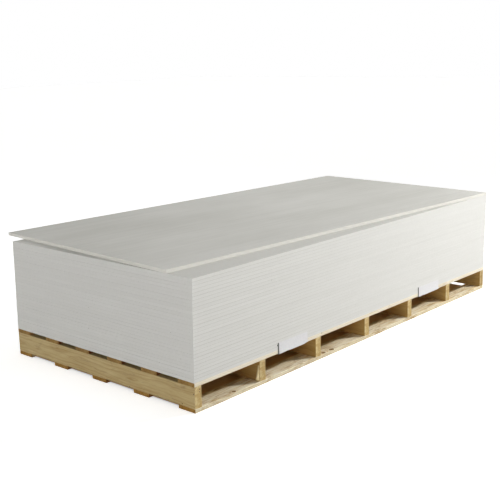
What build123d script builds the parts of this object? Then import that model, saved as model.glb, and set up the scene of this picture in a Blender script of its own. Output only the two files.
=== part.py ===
from build123d import *
import os
import random

# Calcium silicate boards lying flat in a stack on their wooden pallet, the top board turned askew.
# Sizes are in millimetres. X runs along the boards, Y across them and Z up.
# The origin is the middle of the footprint, level with the pallet's underside.

# Boards
board_length = 2440
board_width = 1220
board_thick = 15
board_arris = 0.5  # broken edge round both faces, which makes the fine joint line between boards
square_boards = 29  # boards lying square below the turned one
stack_lean = 9  # drift of the stack towards +X from its lowest to its highest square board
stack_scatter = 1.0  # most that a board is out of line with its neighbours

# Turned top board, placed from the corner of the stack's top at +X and -Y
top_turn = -3.5  # degrees, clockwise seen from above
top_corner_inset = 5  # its corner lies this far in from the stack's +X end
top_corner_overhang = 3  # and this far out over the stack's -Y side

# Pallet, as long and as wide as the boards
deck_thick = 18
deck_board_width = 98
top_deck_count = 6
bottom_deck_count = 5
stringer_count = 7
stringer_thick = 38
stringer_height = 94
timber_arris = 1  # sawn edges, slightly worn

# Plain cards hanging at -Y over the top deck's edge and the foot of the stack
card_length = 213
card_height = 54
card_thick = 1
card_corner = 1.5
card_drop = 4  # below the underside of the top deck
card_offset = 12  # from the middle of its fork pocket towards the pallet's middle

pallet_length = board_length
pallet_width = board_width
stringer_bottom = deck_thick
top_deck_bottom = stringer_bottom + stringer_height
pallet_height = top_deck_bottom + deck_thick
front = -pallet_width / 2


def write(node, solid):
    solid.label = node
    export_step(solid, f"parts/{node}.step")


def spread(count, length, width):
    # Middles of equally spaced pieces of one width, the outer two flush with the ends of the length.
    pitch = (length - width) / (count - 1)
    return [(i - (count - 1) / 2) * pitch for i in range(count)]


def timber(length, width, thick, axis):
    # A sawn length of wood with its long edges broken, centred on the origin.
    section = Rectangle(width, thick)
    stick = extrude(Plane.YZ * section, length / 2, both=True)
    stick = chamfer(stick.edges().filter_by(Axis.X), timber_arris)
    return Rot(0, 0, 90) * stick if axis == Axis.Y else stick


def board():
    # One board, lying on Z = 0, with the edges of both faces broken.
    blank = extrude(Rectangle(board_length, board_width), board_thick)
    faces = blank.faces().sort_by(Axis.Z)
    return chamfer(faces[0].edges() + faces[-1].edges(), board_arris)


def stringer_places():
    return spread(stringer_count, pallet_length, stringer_thick)


def make_pallet():
    stringer = timber(pallet_width, stringer_thick, stringer_height, Axis.Y)
    middle = stringer_bottom + stringer_height / 2
    for i, x in enumerate(stringer_places()):
        write(f"stringer_{i + 1}", Pos(x, 0, middle) * stringer)

    deck_board = timber(pallet_length, deck_board_width, deck_thick, Axis.X)
    for i, y in enumerate(spread(top_deck_count, pallet_width, deck_board_width)):
        write(f"top_deck_board_{i + 1}", Pos(0, y, top_deck_bottom + deck_thick / 2) * deck_board)
    for i, y in enumerate(spread(bottom_deck_count, pallet_width, deck_board_width)):
        write(f"bottom_deck_board_{i + 1}", Pos(0, y, deck_thick / 2) * deck_board)


def make_stack():
    # The square boards lie flush at -Y or a touch behind it, and drift along X as they rise.
    chance = random.Random(4)
    square = board()
    for i in range(square_boards):
        lean = stack_lean * i / (square_boards - 1)
        x = lean + chance.uniform(-stack_scatter, stack_scatter) / 2
        y = chance.uniform(0, stack_scatter)
        write(f"board_{i + 1:02d}", Pos(x, y, pallet_height + i * board_thick) * square)

    # The top board turns about its own corner at +X and -Y, which then moves to its place on the stack.
    corner_x = board_length / 2 + stack_lean - top_corner_inset
    corner_y = front - top_corner_overhang
    top = pallet_height + square_boards * board_thick
    from_corner = Pos(-board_length / 2, board_width / 2, 0) * square
    write("top_board", Pos(corner_x, corner_y, top) * Rot(0, 0, top_turn) * from_corner)


def make_cards():
    # One card over the second fork pocket from each end, standing on the -Y face of the stack and deck.
    outline = RectangleRounded(card_length, card_height, card_corner)
    card = Rot(90, 0, 0) * extrude(outline, card_thick)
    inner, outer = stringer_places()[-3:-1]
    x = (inner + outer) / 2 - card_offset
    z = top_deck_bottom - card_drop + card_height / 2
    write("blank_card_left", Pos(-x, front, z) * card)
    write("blank_card_right", Pos(x, front, z) * card)


os.makedirs("parts", exist_ok=True)
make_pallet()
make_stack()
make_cards()
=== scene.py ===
import math
import random

import bpy
from mathutils import Matrix, Vector


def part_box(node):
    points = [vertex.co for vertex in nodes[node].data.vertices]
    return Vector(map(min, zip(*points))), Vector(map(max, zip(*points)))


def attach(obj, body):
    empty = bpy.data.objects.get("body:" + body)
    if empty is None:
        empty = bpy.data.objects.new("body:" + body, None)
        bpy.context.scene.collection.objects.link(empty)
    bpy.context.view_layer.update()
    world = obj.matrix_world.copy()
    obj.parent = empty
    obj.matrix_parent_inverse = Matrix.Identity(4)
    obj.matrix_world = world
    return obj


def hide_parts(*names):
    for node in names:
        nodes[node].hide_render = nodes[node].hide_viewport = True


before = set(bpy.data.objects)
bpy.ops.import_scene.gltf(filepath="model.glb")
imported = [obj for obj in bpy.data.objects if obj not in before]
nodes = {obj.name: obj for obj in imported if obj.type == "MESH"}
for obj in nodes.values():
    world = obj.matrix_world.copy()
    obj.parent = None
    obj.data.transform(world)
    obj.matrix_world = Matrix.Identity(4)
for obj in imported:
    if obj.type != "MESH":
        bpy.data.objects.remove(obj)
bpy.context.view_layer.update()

mm = 0.001
toMm = (1000, 1000, 1000)  # a Mapping node's scale, from metres to millimetres
print("frame loaded:", len(nodes), "nodes")


def linear(hexColour, shade=1.0):
    # sRGB hex to linear RGBA, made lighter or darker by its shade
    parts = [int(hexColour[i:i + 2], 16) / 255 for i in (1, 3, 5)]
    return [shade * (c / 12.92 if c <= 0.04045 else ((c + 0.055) / 1.055) ** 2.4) for c in parts] + [1.0]


def scales(sizesMm):
    # how often a pattern repeats per mm along each axis; an axis without a size doesn't change it
    return tuple(1 / size if size else 0 for size in sizesMm)


def addNode(tree, kind, inputs=None, stops=(), **settings):
    # an input is a value, an output socket, or a node that stands for its first output in use;
    # stops are a ramp's places and colours, with one number for a grey
    node = tree.nodes.new(kind)
    for name, value in settings.items():
        setattr(node, name, value)
    for socket, value in (inputs or {}).items():
        if isinstance(value, bpy.types.Node):
            value = next(output for output in value.outputs if output.enabled)
        if isinstance(value, bpy.types.NodeSocket):
            tree.links.new(value, node.inputs[socket])
        else:
            node.inputs[socket].default_value = value
    if stops:
        elements = node.color_ramp.elements
        while len(elements) < len(stops):
            elements.new(0.5)
        for element, (place, colour) in zip(elements, stops):
            element.position = place
            element.color = colour if isinstance(colour, list) else [colour, colour, colour, 1]
    return node


def newMaterial(name):
    material = bpy.data.materials.new(name)
    material.use_nodes = True
    material.node_tree.nodes.clear()
    return material, material.node_tree


def finishMaterial(tree, colour, height, look):
    # closes a material with the bump and the shader's uniform values that its look gives
    bump = addNode(tree, "ShaderNodeBump", {
        "Height": height, "Strength": look["bump"], "Distance": look["reliefMm"] * mm})
    shader = addNode(tree, "ShaderNodeBsdfPrincipled", {
        "Base Color": colour, "Normal": bump, **look["surface"]})
    addNode(tree, "ShaderNodeOutputMaterial", {"Surface": shader})


def dress(node, material):
    nodes[node].data.materials.clear()
    nodes[node].data.materials.append(material)


# Autoclaved lime, silica and cellulose: matt off-white, the faces sanded along the board, the edges sawn.
# The faces read slightly warmer and greyer than the fresh edges.
boardLook = {
    "face": "#CECDC7",
    "faceDark": "#C0BFB8",
    "edge": "#D6D5D1",
    "edgeDark": "#C8C7C2",
    "joint": "#B0AEA6",  # dust and saw fines caught in the joint between two boards, with painted shade for its groove
    "jointFrom": -700,  # in mm along the stack: the dust and painted shade thin out from here
    "jointTo": 600,  # to here
    "pit": "#8F8C84",
    "pitMm": (0.9, 2.25),  # radius of a pit's floor and of its rim
    "pitApartMm": 45,
    "pitShare": 0.2,  # of the places where a pit could be
    "turn": 0,  # degrees
    "cloudMm": (1008, 420, 60),
    "sandingMm": (700, 14, 40),  # real lines are under 1 mm apart; drawn coarser so that they show
    "driftMm": (350, 350, None),
    "fibreMm": 2.2,
    "speckleMm": 9,  # real grains are about 1 mm; drawn coarser so that they show
    "bump": 0.35,
    "reliefMm": 0.4,
    "surface": {"Roughness": 0.86, "IOR": 1.5, "Specular IOR Level": 0.3},
}


def makeBoardMaterial(name, jointed, **changes):
    look = {**boardLook, **changes}
    material, tree = newMaterial(name)
    place = addNode(tree, "ShaderNodeTexCoord").outputs
    along = addNode(tree, "ShaderNodeMapping", {
        "Vector": place["Object"], "Rotation": (0, 0, math.radians(-look["turn"])), "Scale": toMm})

    # a face looks up or down, an edge sideways
    axes = addNode(tree, "ShaderNodeSeparateXYZ", {"Vector": place["Normal"]}).outputs
    upness = addNode(tree, "ShaderNodeMath", {0: axes["Z"]}, operation="ABSOLUTE")
    isFace = addNode(tree, "ShaderNodeMapRange", {"Value": upness, "From Min": 0.75, "From Max": 0.95})

    # broad clouding from pressing and drying
    cloudPlace = addNode(tree, "ShaderNodeVectorMath", {
        0: along, 1: scales(look["cloudMm"])}, operation="MULTIPLY")
    cloud = addNode(tree, "ShaderNodeTexNoise", {
        "Vector": cloudPlace, "Scale": 1, "Detail": 5, "Roughness": 0.55})
    # sanding lines along the length
    sandPlace = addNode(tree, "ShaderNodeVectorMath", {
        0: along, 1: scales(look["sandingMm"])}, operation="MULTIPLY")
    sanding = addNode(tree, "ShaderNodeTexNoise", {
        "Vector": sandPlace, "Scale": 1, "Detail": 4, "Roughness": 0.6})
    # short cellulose fibres and lime grains
    fibre = addNode(tree, "ShaderNodeTexNoise", {
        "Vector": along, "Scale": 1 / look["fibreMm"], "Detail": 3, "Roughness": 0.65, "Distortion": 0.6})
    speckle = addNode(tree, "ShaderNodeTexNoise", {
        "Vector": along, "Scale": 1 / look["speckleMm"], "Detail": 4, "Roughness": 0.7})

    # each board has a tone of its own, by its layer in the stack
    spot = addNode(tree, "ShaderNodeSeparateXYZ", {"Vector": along}).outputs
    low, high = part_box("board_01")
    above = addNode(tree, "ShaderNodeMath", {0: spot["Z"], 1: low.z / mm}, operation="SUBTRACT")
    layers = addNode(tree, "ShaderNodeMath", {0: above, 1: (high.z - low.z) / mm}, operation="DIVIDE")
    layer = addNode(tree, "ShaderNodeMath", {0: layers}, operation="FLOOR")
    tone = addNode(tree, "ShaderNodeTexWhiteNoise", {"W": layer}, noise_dimensions="1D")
    # and its sawn edge drifts slowly along the length
    driftStart = addNode(tree, "ShaderNodeCombineXYZ", {"Z": layer})
    driftPlace = addNode(tree, "ShaderNodeVectorMath", {
        0: along, 1: scales(look["driftMm"]), 2: driftStart}, operation="MULTIPLY_ADD")
    drift = addNode(tree, "ShaderNodeTexNoise", {
        "Vector": driftPlace, "Scale": 1, "Detail": 3, "Roughness": 0.5})

    # each pattern has its share in the colour of a face or an edge
    faceTone = edgeTone = 0
    for pattern, share in ((cloud, 0.7), (sanding, 0.3)):
        faceTone = addNode(tree, "ShaderNodeMath", {
            0: pattern, 1: share, 2: faceTone}, operation="MULTIPLY_ADD")
    for pattern, share in ((tone, 0.1), (drift, 0.3), (speckle, 0.45), (fibre, 0.25)):
        edgeTone = addNode(tree, "ShaderNodeMath", {
            0: pattern, 1: share, 2: edgeTone}, operation="MULTIPLY_ADD")
    faceColour = addNode(tree, "ShaderNodeValToRGB", {"Fac": faceTone}, (
        (0.38, linear(look["faceDark"])), (0.62, linear(look["face"]))))
    edgeColour = addNode(tree, "ShaderNodeValToRGB", {"Fac": edgeTone}, (
        (0.25, linear(look["edgeDark"])), (0.85, linear(look["edge"]))))
    colour = addNode(tree, "ShaderNodeMix", {
        "Factor": isFace, 6: edgeColour, 7: faceColour}, data_type="RGBA")

    if jointed:
        # the broken edges, which lean at 45 degrees, hold the dust of the joint and take painted shade for
        # the groove
        isArris = addNode(tree, "ShaderNodeMath", {0: upness, 1: 0.7, 2: 0.2}, operation="COMPARE")
        # less of it on the short sides, and less towards the right
        frontness = addNode(tree, "ShaderNodeMath", {0: axes["Y"]}, operation="ABSOLUTE")
        onFront = addNode(tree, "ShaderNodeMapRange", {
            "Value": frontness, "From Min": 0.2, "From Max": 0.5})
        moreToLeft = addNode(tree, "ShaderNodeMapRange", {
            "Value": spot["X"], "From Min": look["jointFrom"], "From Max": look["jointTo"],
            "To Min": 1, "To Max": 0})
        frontDustAndShade = addNode(tree, "ShaderNodeMath", {0: isArris, 1: onFront}, operation="MULTIPLY")
        jointDustAndShade = addNode(tree, "ShaderNodeMath", {0: frontDustAndShade, 1: moreToLeft}, operation="MULTIPLY")
        colour = addNode(tree, "ShaderNodeMix", {
            "Factor": jointDustAndShade, 6: colour, 7: linear(look["joint"])}, data_type="RGBA")

    # sparse pits where a bubble or a lime grain has broken out
    pitFloor, pitRim = (radius / look["pitApartMm"] for radius in look["pitMm"])
    cell = addNode(tree, "ShaderNodeTexVoronoi", {
        "Vector": along, "Scale": 1 / look["pitApartMm"]}, feature="F1")
    isNear = addNode(tree, "ShaderNodeMapRange", {
        "Value": cell, "From Min": pitFloor, "From Max": pitRim, "To Min": 1, "To Max": 0})
    chance = addNode(tree, "ShaderNodeSeparateColor", {"Color": cell.outputs["Color"]}).outputs
    isPicked = addNode(tree, "ShaderNodeMath", {
        0: chance["Red"], 1: 1 - look["pitShare"]}, operation="GREATER_THAN")
    pit = addNode(tree, "ShaderNodeMath", {0: isNear, 1: isPicked}, operation="MULTIPLY")
    pitted = addNode(tree, "ShaderNodeMix", {
        "Factor": pit, 6: colour, 7: linear(look["pit"])}, data_type="RGBA")

    # relief: fibres and sanding a few hundredths of a millimetre deep, pits half a millimetre
    sanded = addNode(tree, "ShaderNodeMath", {0: fibre, 1: 0.5, 2: sanding}, operation="MULTIPLY_ADD")
    relief = addNode(tree, "ShaderNodeMath", {0: pit, 1: -3, 2: sanded}, operation="MULTIPLY_ADD")
    finishMaterial(tree, pitted, relief, look)
    return material


squareBoards = [name for name in nodes if name.startswith("board_")]
stackMaterial = makeBoardMaterial("calciumSilicateSanded", True)
# the turned board's edges are a lighter colour than the stack's
topMaterial = makeBoardMaterial(
    "calciumSilicateSandedTop", False, turn=-3.5, edge="#DCDAD3", edgeDark="#D0CEC6")
for name in squareBoards:
    dress(name, stackMaterial)
dress("top_board", topMaterial)
print("boards dressed:", len(squareBoards) + 1)


# Softwood sawn for pallets: pale sapwood with yellow-brown latewood lines along the grain,
# duller brown end grain that shows the growth rings as arcs, fibrous fuzz and faint band-saw marks.
# The bottom boards lie outermost and are the palest; the stringers are duller, and darker in the pockets by
# painted shade.
# The side tint darkens a board's sawn edges with painted shade: brown on the inner boards, whose edges face
# the gaps in the deck, slight on the outer ones. The deck-shade tint paints the deck's shade, browner, onto
# what lies under the
# deck: it sets in and is full at these distances from the load's middle line, in mm.
deckPine = {
    "early": "#EBE1CB", "late": "#CBB085", "end": "#7F5D2A", "endPale": "#9A7A45", "stain": "#B9A88C",
    "stainFrom": 0.56, "ring": 7, "rings": 0.8,
    "side": "#B48F60", "paintedDeckShade": "#BF9A68", "deckShadeFrom": 600, "deckShadeTo": 575}
stringerPine = {
    "early": "#BC9A5C", "late": "#8C662E", "end": "#B2965F", "endPale": "#D3C293", "stain": "#7E6542",
    "stainFrom": 0.56, "ring": 7, "rings": 0.45,
    "side": "#FFFFFF", "paintedDeckShade": "#D9C096", "deckShadeFrom": 595, "deckShadeTo": 480}
bottomPine = {
    "early": "#F8EFD6", "late": "#A3865A", "end": "#865F1F", "endPale": "#A17A3A", "stain": "#8F7D63",
    "stainFrom": 0.56, "ring": 8, "rings": 0.9,
    "side": "#BE9666", "paintedDeckShade": "#E6D3B2", "deckShadeFrom": 541, "deckShadeTo": 530}
pines = {"top_deck": deckPine, "bottom_deck": bottomPine, "stringer": stringerPine}
# what single pieces change; knots are placed along and across a piece from its middle, with their radius,
# and the pith across it and below it, all in mm
timberLooks = {
    "bottom_deck_board_1": {
        "early": "#FFFBE6", "late": "#E3CB98", "stain": "#AE8848", "stainFrom": 0.48,
        "side": "#DCDAD6", "paintedDeckShade": "#FFF6DE",
        "knots": ((-976, -37, 8), (-345, -36, 9), (-282, -38, 10)), "pith": (35, 70), "taper": 0.012},
    "bottom_deck_board_5": {"side": "#E6E5E3"},
    "top_deck_board_1": {
        "early": "#ECE7DA", "late": "#D8C9AA", "side": "#F3F2F0", "pith": (30, -90), "taper": 0.01},
    "top_deck_board_6": {"side": "#F3F2F0"},
    "stringer_1": {"early": "#C1AE80", "late": "#957741", "stain": "#867250", "paintedDeckShade": "#FFFFFF"},
    "stringer_2": {"pith": (-46, 12)},
    "stringer_7": {"end": "#A48752", "endPale": "#C2AF80", "paintedDeckShade": "#FFFFFF"},
}
# the grain that all of them share; sizes along, across and up
pineGrain = {
    "wanderMm": (330, 70, 70),
    "wanderBy": (0, 26, 26),  # mm that the rings wander on their way along the trunk
    "slowMm": (170, 32, 32),  # slow change of tone
    "stainMm": (120, 30, 30),
    "fibreMm": (90, 2.2, 2.2),
    "fuzzMm": (60, 26, 34),
    "sawMm": (5, 90, 90),  # one saw mark every 5 mm along the piece
    "poreMm": 1.6,
    "ringStops": ((0.0, 0.1), (0.35, 0.0), (0.74, 0.45), (0.9, 1.0), (1.0, 0.12)),
    "knotShape": (0.72, 1, 0),  # below 1 makes it longer
    "knotReach": 4.0,  # how far a knot pushes the rings away, in its own radii
    "knotPush": 2.2,  # and by how many
    "knotBark": 1.08,  # where its edge ends, in its own radii
    "knotRings": 0.42,  # per mm
    "knotStops": ((0.0, linear("#7A5A30")), (0.6, linear("#A5814C")), (1.0, linear("#5F4523"))),
    "bump": 0.5,
    "reliefMm": 0.4,
    "surface": {"Roughness": 0.78, "IOR": 1.5, "Specular IOR Level": 0.35},
}


def makePineGroup():
    look = pineGrain
    tree = bpy.data.node_groups.new("sawnPine", "ShaderNodeTree")
    for kind, names in {
        # Grain is in mm from the pith, X along it, and Face in mm from the middle of the piece
        "Vector": ("Grain", "Face", "Knot A", "Knot B", "Knot C"),
        # how far the surface faces along the grain and level across it, ring width, how much the rings show
        # on the long faces, the trunk's taper, and where stain starts: lower spreads it further
        "Float": ("Grain Normal", "Side Normal", "Ring", "Ring Weight", "Taper", "Stain From"),
        "Color": ("Early", "Late", "End", "End Pale", "Stain", "Side Shade Tint"),
    }.items():
        for name in names:
            tree.interface.new_socket(name, in_out="INPUT", socket_type="NodeSocket" + kind)
    tree.interface.new_socket("Color", in_out="OUTPUT", socket_type="NodeSocketColor")
    tree.interface.new_socket("Height", in_out="OUTPUT", socket_type="NodeSocketFloat")
    source = addNode(tree, "NodeGroupInput").outputs

    # every pattern but the fuzz and the saw marks lies along the grain
    spots = {}
    for pattern in ("wander", "slow", "stain", "fibre", "fuzz", "saw"):
        spots[pattern] = addNode(tree, "ShaderNodeVectorMath", {
            0: source["Face" if pattern in ("fuzz", "saw") else "Grain"], 1: scales(look[pattern + "Mm"])},
            operation="MULTIPLY")

    # rings about the pith, which wander and widen along the trunk
    wander = addNode(tree, "ShaderNodeTexNoise", {
        "Vector": spots["wander"], "Scale": 1, "Detail": 3, "Roughness": 0.55})
    wanderBy = addNode(tree, "ShaderNodeVectorMath", {
        0: wander.outputs["Color"], 1: (0.5, 0.5, 0.5)}, operation="SUBTRACT")
    wandered = addNode(tree, "ShaderNodeVectorMath", {
        0: wanderBy, 1: look["wanderBy"], 2: source["Grain"]}, operation="MULTIPLY_ADD")
    cross = addNode(tree, "ShaderNodeVectorMath", {0: wandered, 1: (0, 1, 1)}, operation="MULTIPLY")
    radius = addNode(tree, "ShaderNodeVectorMath", {0: cross}, operation="LENGTH")
    trunk = addNode(tree, "ShaderNodeSeparateXYZ", {"Vector": source["Grain"]}).outputs
    ringPlace = addNode(tree, "ShaderNodeMath", {
        0: trunk["X"], 1: source["Taper"], 2: radius}, operation="MULTIPLY_ADD")

    # knots push the rings round them and are darker, with rings of their own
    knotMask, knotDistance = 0, 10000
    for knot in ("Knot A", "Knot B", "Knot C"):
        facts = addNode(tree, "ShaderNodeSeparateXYZ", {"Vector": source[knot]}).outputs
        middle = addNode(tree, "ShaderNodeCombineXYZ", {"X": facts["X"], "Y": facts["Y"]})
        away = addNode(tree, "ShaderNodeVectorMath", {0: source["Face"], 1: middle}, operation="SUBTRACT")
        flat = addNode(tree, "ShaderNodeVectorMath", {0: away, 1: look["knotShape"]}, operation="MULTIPLY")
        distance = addNode(tree, "ShaderNodeVectorMath", {0: flat}, operation="LENGTH")
        reach = addNode(tree, "ShaderNodeMath", {0: facts["Z"], 1: look["knotReach"]}, operation="MULTIPLY")
        bulge = addNode(tree, "ShaderNodeMapRange", {
            "Value": distance, "From Min": 0, "From Max": reach, "To Min": 1, "To Max": 0},
            interpolation_type="SMOOTHERSTEP")
        push = addNode(tree, "ShaderNodeMath", {0: facts["Z"], 1: look["knotPush"]}, operation="MULTIPLY")
        ringPlace = addNode(tree, "ShaderNodeMath", {
            0: bulge, 1: push, 2: ringPlace}, operation="MULTIPLY_ADD")
        bark = addNode(tree, "ShaderNodeMath", {0: facts["Z"], 1: look["knotBark"]}, operation="MULTIPLY")
        inside = addNode(tree, "ShaderNodeMapRange", {
            "Value": distance, "From Min": facts["Z"], "From Max": bark, "To Min": 1, "To Max": 0})
        isThere = addNode(tree, "ShaderNodeMath", {0: facts["Z"], 1: 0.1}, operation="GREATER_THAN")
        mask = addNode(tree, "ShaderNodeMath", {0: inside, 1: isThere}, operation="MULTIPLY")
        knotMask = addNode(tree, "ShaderNodeMath", {0: knotMask, 1: mask}, operation="MAXIMUM")
        knotDistance = addNode(tree, "ShaderNodeMath", {0: knotDistance, 1: distance}, operation="MINIMUM")

    # latewood: each ring darkens slowly, then ends sharply, and some years are stronger
    rings = addNode(tree, "ShaderNodeMath", {0: ringPlace, 1: source["Ring"]}, operation="DIVIDE")
    ring = addNode(tree, "ShaderNodeMath", {0: rings}, operation="FRACT")
    ringRamp = addNode(tree, "ShaderNodeValToRGB", {"Fac": ring}, look["ringStops"])
    ringRamp.color_ramp.interpolation = "EASE"
    year = addNode(tree, "ShaderNodeMath", {0: rings}, operation="FLOOR")
    strength = addNode(tree, "ShaderNodeTexWhiteNoise", {"W": year}, noise_dimensions="1D")
    strong = addNode(tree, "ShaderNodeMapRange", {"Value": strength, "To Min": 0.35, "To Max": 1})
    late = addNode(tree, "ShaderNodeMath", {0: ringRamp, 1: strong}, operation="MULTIPLY")

    # long faces: fine streaks, slow change of tone, and grey-brown stain from handling and the yard
    fibre = addNode(tree, "ShaderNodeTexNoise", {
        "Vector": spots["fibre"], "Scale": 1, "Detail": 4, "Roughness": 0.65})
    slow = addNode(tree, "ShaderNodeTexNoise", {
        "Vector": spots["slow"], "Scale": 1, "Detail": 4, "Roughness": 0.55, "Distortion": 0.4})
    stainNoise = addNode(tree, "ShaderNodeTexNoise", {
        "Vector": spots["stain"], "Scale": 1, "Detail": 6, "Roughness": 0.7, "Distortion": 1})
    stainFull = addNode(tree, "ShaderNodeMath", {0: source["Stain From"], 1: 0.18}, operation="ADD")
    stain = addNode(tree, "ShaderNodeMapRange", {
        "Value": stainNoise, "From Min": source["Stain From"], "From Max": stainFull,
        "To Min": 0, "To Max": 0.75})
    grain = addNode(tree, "ShaderNodeMath", {0: late, 1: source["Ring Weight"]}, operation="MULTIPLY")
    for pattern, share in ((fibre, 0.95), (slow, 0.85)):
        grain = addNode(tree, "ShaderNodeMath", {0: pattern, 1: share, 2: grain}, operation="MULTIPLY_ADD")
    grainAmount = addNode(tree, "ShaderNodeMapRange", {"Value": grain, "From Min": 0.62, "From Max": 1.6})
    longColour = addNode(tree, "ShaderNodeMix", {
        "Factor": grainAmount, 6: source["Early"], 7: source["Late"]}, data_type="RGBA")
    stained = addNode(tree, "ShaderNodeMix", {
        "Factor": stain, 6: longColour, 7: source["Stain"]}, data_type="RGBA")
    knotRings = addNode(tree, "ShaderNodeMath", {
        0: knotDistance, 1: look["knotRings"]}, operation="MULTIPLY")
    knotRing = addNode(tree, "ShaderNodeMath", {0: knotRings}, operation="FRACT")
    knotColour = addNode(tree, "ShaderNodeValToRGB", {"Fac": knotRing}, look["knotStops"])
    knotted = addNode(tree, "ShaderNodeMix", {
        "Factor": knotMask, 6: stained, 7: knotColour}, data_type="RGBA")

    # end grain: darker, with the rings as arcs and fine pores
    isEnd = addNode(tree, "ShaderNodeMapRange", {
        "Value": source["Grain Normal"], "From Min": 0.75, "From Max": 0.92})
    pores = addNode(tree, "ShaderNodeTexNoise", {
        "Vector": source["Grain"], "Scale": 1 / look["poreMm"], "Detail": 3, "Roughness": 0.7})
    endAmount = addNode(tree, "ShaderNodeMath", {0: pores, 1: 0.6, 2: late}, operation="MULTIPLY_ADD")
    endShade = addNode(tree, "ShaderNodeMapRange", {
        "Value": endAmount, "From Min": 0.15, "From Max": 1.3, "To Min": 1.1, "To Max": 0.72})
    # pale patches where the saw left the fibres fuzzy
    fuzz = addNode(tree, "ShaderNodeTexNoise", {
        "Vector": spots["fuzz"], "Scale": 1, "Detail": 3, "Roughness": 0.6, "Distortion": 0.5})
    fuzzy = addNode(tree, "ShaderNodeMapRange", {
        "Value": fuzz, "From Min": 0.47, "From Max": 0.62, "To Min": 0, "To Max": 0.75})
    endTone = addNode(tree, "ShaderNodeMix", {
        "Factor": fuzzy, 6: source["End"], 7: source["End Pale"]}, data_type="RGBA")
    endColour = addNode(tree, "ShaderNodeVectorMath", {0: endTone, 1: endShade}, operation="MULTIPLY")
    colour = addNode(tree, "ShaderNodeMix", {"Factor": isEnd, 6: knotted, 7: endColour}, data_type="RGBA")
    # painted shade: the side tint darkens the sawn edges, most on the inner boards
    isSide = addNode(tree, "ShaderNodeMapRange", {
        "Value": source["Side Normal"], "From Min": 0.75, "From Max": 0.92})
    sideShaded = addNode(tree, "ShaderNodeMix", {
        "Factor": isSide, 6: colour, 7: source["Side Shade Tint"]}, data_type="RGBA", blend_type="MULTIPLY")

    # relief: fuzz, raised latewood and saw marks
    saw = addNode(tree, "ShaderNodeTexNoise", {
        "Vector": spots["saw"], "Scale": 1, "Detail": 2, "Roughness": 0.5})
    relief = late
    for pattern, share in ((saw, 0.5), (fibre, 1.4)):
        relief = addNode(tree, "ShaderNodeMath", {
            0: pattern, 1: share, 2: relief}, operation="MULTIPLY_ADD")
    addNode(tree, "NodeGroupOutput", {"Color": sideShaded, "Height": relief})
    return tree


pineGroup = makePineGroup()


def makeTimberMaterial(title, node, isStringer, look):
    # a stringer lies along Y and stands on edge, a board lies along X and flat
    chance = random.Random(title)
    low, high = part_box(node)
    material, tree = newMaterial("sawnPine." + title)
    place = addNode(tree, "ShaderNodeTexCoord").outputs
    centred = addNode(tree, "ShaderNodeVectorMath", {
        0: place["Object"], 1: tuple((low + high) / 2)}, operation="SUBTRACT")
    face = addNode(tree, "ShaderNodeMapping", {
        "Vector": centred, "Rotation": (0, 0, math.radians(-90) if isStringer else 0), "Scale": toMm})
    # flat-sawn: the pith lies off the broad face, which is a stringer's side and a board's top
    beside, beyond = chance.uniform(-30, 30), chance.choice((-1, 1)) * chance.uniform(32, 90)
    pith = look.get("pith") or ((beyond, beside) if isStringer else (beside, beyond))
    start = chance.uniform(-9000, 9000)  # mm up the trunk
    grain = addNode(tree, "ShaderNodeMapping", {"Vector": face, "Location": (start, *pith)})
    axes = addNode(tree, "ShaderNodeSeparateXYZ", {"Vector": place["Normal"]}).outputs
    endwise = addNode(tree, "ShaderNodeMath", {0: axes["Y" if isStringer else "X"]}, operation="ABSOLUTE")
    sideways = addNode(tree, "ShaderNodeMath", {0: axes["X" if isStringer else "Y"]}, operation="ABSOLUTE")
    # about every second piece shows a knot, which runs through its thickness
    knots = list(look.get("knots", ()))
    if not knots and chance.random() < 0.5:
        knots.append((chance.uniform(-450, 450), chance.uniform(-30, 30), chance.uniform(5, 11)))
    knots += [(0, 0, 0)] * (3 - len(knots))
    knotFace = face
    if isStringer:
        sides = addNode(tree, "ShaderNodeSeparateXYZ", {"Vector": face}).outputs
        knotFace = addNode(tree, "ShaderNodeCombineXYZ", {
            "X": sides["X"], "Y": sides["Z"], "Z": sides["Y"]})
    shade = chance.uniform(0.93, 1.04)
    ringMm = look["ring"] * chance.uniform(0.85, 1.15)
    taper = chance.uniform(0.004, 0.02)
    pine = addNode(tree, "ShaderNodeGroup", {
        "Grain": grain, "Face": knotFace, "Grain Normal": endwise, "Side Normal": sideways,
        "Ring": ringMm, "Ring Weight": look["rings"], "Taper": look.get("taper", taper),
        "Early": linear(look["early"], shade), "Late": linear(look["late"], shade),
        "End": linear(look["end"], shade), "End Pale": linear(look["endPale"], shade),
        "Stain": linear(look["stain"], shade), "Stain From": look["stainFrom"],
        "Side Shade Tint": linear(look["side"]),
        "Knot A": knots[0], "Knot B": knots[1], "Knot C": knots[2]}, node_tree=pineGroup).outputs
    # painted shade: browner where the deck shades it, but not on its ends
    spot = addNode(tree, "ShaderNodeSeparateXYZ", {"Vector": place["Object"]}).outputs
    fromMiddle = addNode(tree, "ShaderNodeMath", {0: spot["Y"]}, operation="ABSOLUTE")
    paintedDeckShade = addNode(tree, "ShaderNodeMapRange", {
        "Value": fromMiddle, "From Min": look["deckShadeFrom"] * mm, "From Max": look["deckShadeTo"] * mm})
    notEnd = addNode(tree, "ShaderNodeMath", {0: 1, 1: endwise}, operation="SUBTRACT", use_clamp=True)
    deckShadeMask = addNode(tree, "ShaderNodeMath", {0: paintedDeckShade, 1: notEnd}, operation="MULTIPLY")
    colour = addNode(tree, "ShaderNodeMix", {
        "Factor": deckShadeMask, 6: pine["Color"], 7: linear(look["paintedDeckShade"])},
        data_type="RGBA", blend_type="MULTIPLY")
    finishMaterial(tree, colour, pine["Height"], pineGrain)
    return material


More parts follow.
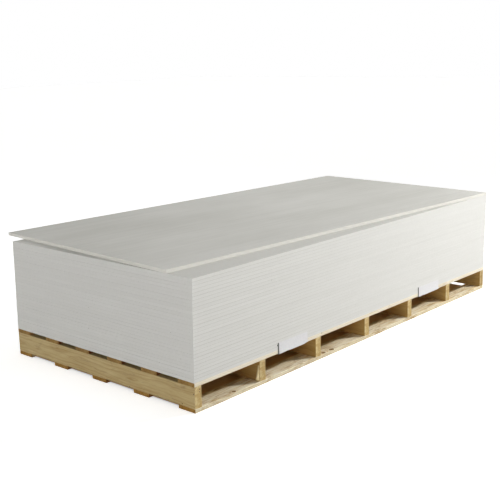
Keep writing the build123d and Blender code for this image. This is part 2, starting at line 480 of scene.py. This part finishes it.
for name in nodes:
    for kind, pine in pines.items():
        if name.startswith(kind):
            look = {**pine, **timberLooks.get(name, {})}
            dress(name, makeTimberMaterial(name, name, kind == "stringer", look))
print("pallet dressed")


def pick(test, kind="VERT"):
    # selects only the vertices, by their place, or the faces that pass the test
    bpy.ops.mesh.select_mode(type=kind)
    bpy.ops.mesh.select_all(action="DESELECT")
    bpy.ops.object.mode_set(mode="OBJECT")
    mesh = bpy.context.active_object.data
    for part in (mesh.vertices if kind == "VERT" else mesh.polygons):
        part.select = test(part.co if kind == "VERT" else part)
    bpy.ops.object.mode_set(mode="EDIT")


def cut(place, across):
    # cuts the whole piece in edit mode
    bpy.ops.mesh.select_all(action="SELECT")
    bpy.ops.mesh.bisect(plane_co=place, plane_no=across)


def beginPiece(name, low, high):
    # a cube of the given size at its place, ready in edit mode
    bpy.ops.object.select_all(action="DESELECT")
    bpy.ops.mesh.primitive_cube_add(size=1, location=(Vector(low) + Vector(high)) / 2)
    piece = bpy.context.active_object
    piece.name = name
    piece.scale = Vector(high) - Vector(low)
    bpy.ops.object.transform_apply(location=True, rotation=True, scale=True)
    bpy.ops.object.mode_set(mode="EDIT")
    return piece


def soften(piece, widthMm, segments, bevelDegrees, smoothDegrees):
    # leaves edit mode, breaks the sharp edges and smooths the shallow ones
    bpy.ops.object.mode_set(mode="OBJECT")
    bevel = piece.modifiers.new("soften", "BEVEL")
    bevel.width = widthMm * mm
    bevel.segments = segments
    bevel.limit_method = "ANGLE"
    bevel.angle_limit = math.radians(bevelDegrees)
    bpy.ops.object.modifier_apply(modifier="soften")
    bpy.ops.object.shade_smooth_by_angle(angle=math.radians(smoothDegrees))


def endPiece(piece, material):
    piece.data.materials.append(material)
    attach(piece, "root")


# Coated white card, blank: smooth and a trace bluer than the boards, with a dark fold at its left end.
cardLook = {
    "sheet": "#D7D6D6",
    "mottle": "#CECDCE",
    "mottleMm": 6.25,  # real mottle is finer; drawn coarser so that it shows
    "fold": "#4C4E45",
    "foldMm": 7,
    "foldProudMm": 1,
    "sheetMm": 0.7,
    "behindMm": 0.1,  # a hair off the boards
    "columns": 24,
    "rows": (0.08, 0.18, 0.32, 0.55),  # where it is cut, as shares of its height
    "fades": ((0.0, 1.0), (0.08, 0.7), (0.18, 0.4), (0.32, 0.15)),  # and how much of a curl is left there
    # a curl's place along the card and how far it goes up and out, in mm
    "curls": {
        "blank_card_left": (
            (0.05, 0.4, 0.6), (0.30, 3.6, 2.6), (0.38, 1.2, 1.6), (0.66, 0.3, 0.8), (0.97, 6.0, 3.4)),
        "blank_card_right": (
            (0.08, 0.5, 0.8), (0.22, 2.2, 1.8), (0.55, 0.4, 0.6), (0.86, 2.6, 2.4), (0.99, 4.0, 3.0)),
    },
    "curlShare": 0.055,  # how wide a curl is along the card
    # a small tab on the fold: where it starts, as a share of the card's height, its width and height in mm,
    # and how much of that height its outer end keeps
    "tabShare": 0.72,
    "tabs": {"blank_card_left": (4.5, 9.0), "blank_card_right": (2.0, 5.0)},
    "tabKept": 0.55,
    "bump": 0.15,
    "reliefMm": 0.2,
    "surface": {"Roughness": 0.5, "IOR": 1.48},
}


def makeCardMaterial(node, foldEdge):
    look = cardLook
    material, tree = newMaterial("coatedCard." + node)
    place = addNode(tree, "ShaderNodeTexCoord").outputs
    mottle = addNode(tree, "ShaderNodeTexNoise", {
        "Vector": place["Object"], "Scale": 1 / (look["mottleMm"] * mm), "Detail": 3})
    sheet = addNode(tree, "ShaderNodeValToRGB", {"Fac": mottle}, (
        (0.3, linear(look["mottle"])), (0.7, linear(look["sheet"]))))
    axes = addNode(tree, "ShaderNodeSeparateXYZ", {"Vector": place["Object"]}).outputs
    fold = addNode(tree, "ShaderNodeMapRange", {
        "Value": axes["X"], "From Min": foldEdge - 0.5 * mm, "From Max": foldEdge + 0.5 * mm,
        "To Min": 1, "To Max": 0})
    colour = addNode(tree, "ShaderNodeMix", {
        "Factor": fold, 6: sheet, 7: linear(look["fold"])}, data_type="RGBA")
    finishMaterial(tree, colour, mottle, look)
    return material


def makeCard(node):
    look = cardLook
    low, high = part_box(node)
    length, tall = high.x - low.x, high.z - low.z
    back = high.y - look["behindMm"] * mm
    card = beginPiece(
        "card_sheet_" + node.split("_")[-1],
        (low.x, back - look["sheetMm"] * mm, low.z), (high.x, back, high.z))
    for i in range(1, look["columns"]):
        cut((low.x + length * i / look["columns"], 0, 0), (1, 0, 0))
    for share in look["rows"]:
        cut((0, 0, low.z + tall * share), (0, 0, 1))
    # curl each column by its own share, fading upwards
    for i in range(look["columns"] + 1):
        share = i / look["columns"]
        up = out = 0
        for place, lift, stand in look["curls"][node]:
            near = math.exp(-((share - place) / look["curlShare"]) ** 2)
            up, out = up + lift * near, out + stand * near
        for row, fade in look["fades"]:
            x, z = low.x + length * share, low.z + tall * row
            pick(lambda co: abs(co.x - x) < 1e-5 and abs(co.z - z) < 1e-5)
            bpy.ops.transform.translate(value=(0, -out * fade * mm, up * fade * mm))
    # the fold stands proud, and carries a small tab near its top
    foldEdge = low.x + look["foldMm"] * mm
    cut((foldEdge, 0, 0), (1, 0, 0))
    pick(lambda face: face.normal.y < -0.7 and face.center.x < foldEdge, "FACE")
    bpy.ops.mesh.extrude_region_move(TRANSFORM_OT_translate={"value": (0, -look["foldProudMm"] * mm, 0)})
    tabWide, tabTall = look["tabs"][node]
    tabLow = low.z + tall * look["tabShare"]
    tabHigh = tabLow + tabTall * mm
    for z in (tabLow, tabHigh):
        cut((0, 0, z), (0, 0, 1))
    pick(lambda face: face.normal.x < -0.9 and abs(face.center.x - low.x) < 1e-4
         and tabLow < face.center.z < tabHigh, "FACE")
    bpy.ops.mesh.extrude_region_move(TRANSFORM_OT_translate={"value": (-tabWide * mm, 0, 0)})
    bpy.ops.transform.resize(value=(1, 1, look["tabKept"]))
    soften(card, 0.15, 1, 50, 35)
    endPiece(card, makeCardMaterial(node, foldEdge))
    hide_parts(node)


for name in ("blank_card_left", "blank_card_right"):
    makeCard(name)
print("cards made")


# A sliver split off the second stringer's front edge, still held at its top: fresher, paler wood.
sliverLook = {
    "stringer": "stringer_2",
    "behindMm": 2,  # behind the stringer's end
    "besideMm": 0.05,  # a hair off its side
    "thickMm": 9,
    "tornMm": 2.5,  # torn off at the back of its foot
    "tornUpMm": 20,
    "topMm": 92,
    "rightMm": 22,
    "leftMm": 32,
    "spreadMm": 25,  # how far the foot stands off the stringer
    # how much of that spread is left, from the foot to the top
    "taper": ((0.0, 1.0), (0.25, 0.8), (0.5, 0.52), (0.75, 0.26), (1.0, 0.07)),
    "pine": {"early": "#DCCBA2", "late": "#BC9C66", "end": "#C3AC78", "endPale": "#D8C99E"},
}


def makeSliver():
    look = sliverLook
    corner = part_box(look["stringer"])[0]
    side, front = corner.x, corner.y
    foot, head, spread = look["rightMm"] * mm, look["topMm"] * mm, look["spreadMm"] * mm
    sliver = beginPiece(
        "stringer_sliver",
        (side - spread, front + look["behindMm"] * mm, foot),
        (side - look["besideMm"] * mm, front + look["thickMm"] * mm, head))
    for share, _ in look["taper"][1:-1]:
        cut((0, 0, foot + (head - foot) * share), (0, 0, 1))
    # taper the left side towards the top, bowed a little, and raise the left of the foot
    for share, kept in look["taper"]:
        z = foot + (head - foot) * share
        pick(lambda co: abs(co.z - z) < 1e-5 and co.x < side - spread / 2)
        bpy.ops.transform.translate(value=(spread * (1 - kept), 0, 0))
    pick(lambda co: co.z < foot + 1e-4 and co.x < side - spread * 0.8)
    bpy.ops.transform.translate(value=(0, 0, (look["leftMm"] - look["rightMm"]) * mm))
    pick(lambda co: co.z < foot + look["tornUpMm"] * mm and co.y > front + look["thickMm"] * mm / 2)
    bpy.ops.transform.translate(value=(0, -look["tornMm"] * mm, 0))
    soften(sliver, 0.6, 2, 30, 40)
    pine = {**stringerPine, **look["pine"]}
    endPiece(sliver, makeTimberMaterial("stringer_sliver", look["stringer"], True, pine))


makeSliver()
print("sliver made")


# Nails driven and dulled: round steel heads, browned by rust, a trace proud of the wood.
nailLook = {
    "steel": "#5C4F45",
    "rust": "#43301F",
    "headMm": 2.3,  # radius
    "proudMm": 0.7,
    "domeMm": ((0.5, 0.25), (0.8, 0.1)),  # each step in towards a raised middle, and up
    "sides": 14,
    # side of the load, place along it and height, in mm
    "places": (
        ("-X", -604, 82), ("-X", -206, 22), ("-X", -534, 25),
        ("-Y", -1192, 98), ("-Y", -1193, 87), ("-Y", -373, 126)),
    "bump": 0.3,
    "reliefMm": 0.1,
    "surface": {"Roughness": 0.6, "Metallic": 0.4},
}


def makeNailMaterial():
    look = nailLook
    material, tree = newMaterial("rustedNailSteel")
    place = addNode(tree, "ShaderNodeTexCoord").outputs
    bloom = addNode(tree, "ShaderNodeTexNoise", {
        "Vector": place["Object"], "Scale": 700, "Detail": 3})  # 1.4 mm
    colour = addNode(tree, "ShaderNodeValToRGB", {"Fac": bloom}, (
        (0.4, linear(look["rust"])), (0.6, linear(look["steel"]))))
    finishMaterial(tree, colour, bloom, look)
    return material


def makeNails():
    look = nailLook
    steel = makeNailMaterial()
    bpy.ops.object.select_all(action="DESELECT")
    bpy.ops.mesh.primitive_cylinder_add(
        vertices=look["sides"], radius=look["headMm"] * mm, depth=2 * look["proudMm"] * mm,
        location=(0, 0, 0))
    model = bpy.context.active_object
    bpy.ops.object.mode_set(mode="EDIT")
    pick(lambda face: face.normal.z > 0.9, "FACE")
    for inward, upward in look["domeMm"]:
        bpy.ops.mesh.inset(thickness=inward * mm, depth=upward * mm)
    bpy.ops.object.mode_set(mode="OBJECT")
    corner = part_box("stringer_1")[0]
    for i, (side, along, height) in enumerate(look["places"]):
        nail = model.copy()
        nail.data = model.data.copy()
        nail.name = "nail_head_%d" % (i + 1)
        bpy.context.scene.collection.objects.link(nail)
        if side == "-X":
            nail.rotation_euler = (0, math.radians(-90), 0)
            nail.location = (corner.x, along * mm, height * mm)
        else:
            nail.rotation_euler = (math.radians(90), 0, 0)
            nail.location = (along * mm, corner.y, height * mm)
        bpy.ops.object.select_all(action="DESELECT")
        nail.select_set(True)
        bpy.context.view_layer.objects.active = nail
        bpy.ops.object.transform_apply(location=True, rotation=True, scale=True)
        bpy.ops.object.shade_smooth_by_angle(angle=math.radians(40))
        endPiece(nail, steel)
    bpy.data.objects.remove(model)


makeNails()
print("nails made")


# The stage: a painted studio floor, off-white, with a trace of grit, which is drawn far coarser than real.
floorLook = {
    "paint": "#E4E4E2",
    "pocketShadeTint": "#F8D49C",  # under the pallet: a warm tint that paints the brown of the pockets' shade
    "reach": 30,  # metres from the middle
    "belowMm": 0.2,  # a hair lower than the pallet, so that the two don't flicker
    "lift": 0.65,  # seen by the camera only, so that the floor reads white and still keeps its shadow
}


def makeFloor():
    look = floorLook
    bpy.ops.mesh.primitive_plane_add(size=2 * look["reach"], location=(0, 0, -look["belowMm"] * mm))
    floor = bpy.context.active_object
    floor.name = "studioFloor"
    material, tree = newMaterial("paintedStudioFloor")
    place = addNode(tree, "ShaderNodeTexCoord").outputs
    grit = addNode(tree, "ShaderNodeTexNoise", {"Vector": place["Object"], "Scale": 3, "Detail": 3})
    paint = addNode(tree, "ShaderNodeValToRGB", {"Fac": grit}, (
        (0.3, linear(look["paint"], 0.98)), (0.7, linear(look["paint"]))))
    # under the pallet the floor takes a warm tint, painted for the brown of the pockets' shade, and nothing
    # is lifted, so the pockets stay in their own shade; the outer stringers stand on the plain floor, seen
    # between the ends of the bottom boards
    axes = addNode(tree, "ShaderNodeSeparateXYZ", {"Vector": place["Object"]}).outputs
    low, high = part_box("stringer_7")
    outside = 0
    for axis, limit in (("X", low.x + 20 * mm), ("Y", high.y)):
        distance = addNode(tree, "ShaderNodeMath", {0: axes[axis]}, operation="ABSOLUTE")
        past = addNode(tree, "ShaderNodeMapRange", {
            "Value": distance, "From Min": limit - 10 * mm, "From Max": limit})
        outside = addNode(tree, "ShaderNodeMath", {0: outside, 1: past}, operation="MAXIMUM")
    colour = addNode(tree, "ShaderNodeMix", {
        "Factor": outside, 6: linear(look["pocketShadeTint"]), 7: paint}, data_type="RGBA")
    matt = addNode(tree, "ShaderNodeBsdfDiffuse", {"Color": colour})
    rays = addNode(tree, "ShaderNodeLightPath").outputs
    seen = addNode(tree, "ShaderNodeMath", {0: rays["Is Camera Ray"], 1: outside}, operation="MULTIPLY")
    strength = addNode(tree, "ShaderNodeMath", {0: seen, 1: look["lift"]}, operation="MULTIPLY")
    glow = addNode(tree, "ShaderNodeEmission", {"Color": (1, 1, 1, 1), "Strength": strength})
    both = addNode(tree, "ShaderNodeAddShader", {0: matt, 1: glow})
    addNode(tree, "ShaderNodeOutputMaterial", {"Surface": both})
    floor.data.materials.append(material)


# A key lamp high at the right front, a weak one behind, bright walls, most at the left, and a soft ceiling.
lightLook = {
    "keyLamp": {
        "place": (3.4, -2.85, 2.95),
        "aim": (-1.6, -2.25, 1.6),  # feathered to the left, which evens it out along the boards
        "size": 0.3, "watts": 209},
    "backLamp": {"place": (3.0, 2.4, 2.6), "aim": (0, 0, 0.3), "size": 1.2, "watts": 20},
    "walls": 2.8,  # all round
    "wallsTop": (0.14, 0.22),  # height on a unit sky where they fade out, about 10 degrees up
    "leftWall": 1.65,  # more from the left
    "leftFrom": (-0.7, -0.3),  # X on a unit sky where that fades out
    "ceiling": 0.87,
    "ceilingFrom": (0.7, 0.84),  # height on a unit sky, about 50 degrees up
}


def addLamp(name, place, aim, size, watts):
    data = bpy.data.lights.new(name, "AREA")
    data.shape = "SQUARE"
    data.size = size
    data.energy = watts
    lamp = bpy.data.objects.new(name, data)
    bpy.context.scene.collection.objects.link(lamp)
    lamp.location = place
    lamp.rotation_mode = "QUATERNION"
    lamp.rotation_quaternion = (Vector(aim) - Vector(place)).to_track_quat("-Z", "Y")


def makeLight():
    look = lightLook
    for name in ("keyLamp", "backLamp"):
        addLamp(name, **look[name])

    world = bpy.data.worlds.new("studio")
    bpy.context.scene.world = world
    world.use_nodes = True
    tree = world.node_tree
    tree.nodes.clear()
    place = addNode(tree, "ShaderNodeTexCoord").outputs
    axes = addNode(tree, "ShaderNodeSeparateXYZ", {"Vector": place["Generated"]}).outputs
    bands = []
    for axis, (start, end), (before, after) in (
        ("Z", look["wallsTop"], (1, 0)),
        ("X", look["leftFrom"], (look["walls"] + look["leftWall"], look["walls"])),
        ("Z", look["ceilingFrom"], (0, look["ceiling"])),
    ):
        bands.append(addNode(tree, "ShaderNodeMapRange", {
            "Value": axes[axis], "From Min": start, "From Max": end, "To Min": before, "To Max": after},
            interpolation_type="SMOOTHSTEP"))
    low, left, high = bands
    sky = addNode(tree, "ShaderNodeMath", {0: low, 1: left, 2: high}, operation="MULTIPLY_ADD")
    light = addNode(tree, "ShaderNodeBackground", {"Color": (1, 1, 1, 1), "Strength": sky})
    # the camera and mirrored or refracted rays see plain white instead
    white = addNode(tree, "ShaderNodeBackground", {"Color": (1, 1, 1, 1), "Strength": 1})
    rays = addNode(tree, "ShaderNodeLightPath").outputs
    direct = 0
    for ray in ("Is Camera Ray", "Is Glossy Ray", "Is Transmission Ray"):
        direct = addNode(tree, "ShaderNodeMath", {0: direct, 1: rays[ray]}, operation="MAXIMUM")
    mixed = addNode(tree, "ShaderNodeMixShader", {0: direct, 1: light, 2: white})
    addNode(tree, "ShaderNodeOutputWorld", {"Surface": mixed})


cameraLook = {
    "azimuth": -48.103,
    "elevation": 12.614,
    "roll": -1.468,
    "target": (0.19115, 0.3362, 0.3),
    "distance": 5.2777,
    "lens": 65.58,
    "sensor": 36,
}


def makeCamera():
    look = cameraLook
    azimuth, elevation, roll = (math.radians(look[angle]) for angle in ("azimuth", "elevation", "roll"))
    back = Vector((
        math.sin(azimuth) * math.cos(elevation),
        -math.cos(azimuth) * math.cos(elevation),
        math.sin(elevation)))
    right = (-back).cross(Vector((0, 0, 1))).normalized()
    up = right.cross(-back)
    rightRolled = right * math.cos(roll) + up * math.sin(roll)
    upRolled = up * math.cos(roll) - right * math.sin(roll)
    data = bpy.data.cameras.new("photoCamera")
    data.lens = look["lens"]
    data.sensor_width = look["sensor"]
    data.sensor_fit = "AUTO"
    camera = bpy.data.objects.new("photoCamera", data)
    bpy.context.scene.collection.objects.link(camera)
    turned = Matrix((rightRolled, upRolled, back)).transposed().to_4x4()
    turned.translation = Vector(look["target"]) + back * look["distance"]
    camera.matrix_world = turned
    bpy.context.scene.camera = camera


makeFloor()
makeLight()
makeCamera()
bpy.context.scene.view_settings.view_transform = "Standard"
print("floor, light and camera placed")
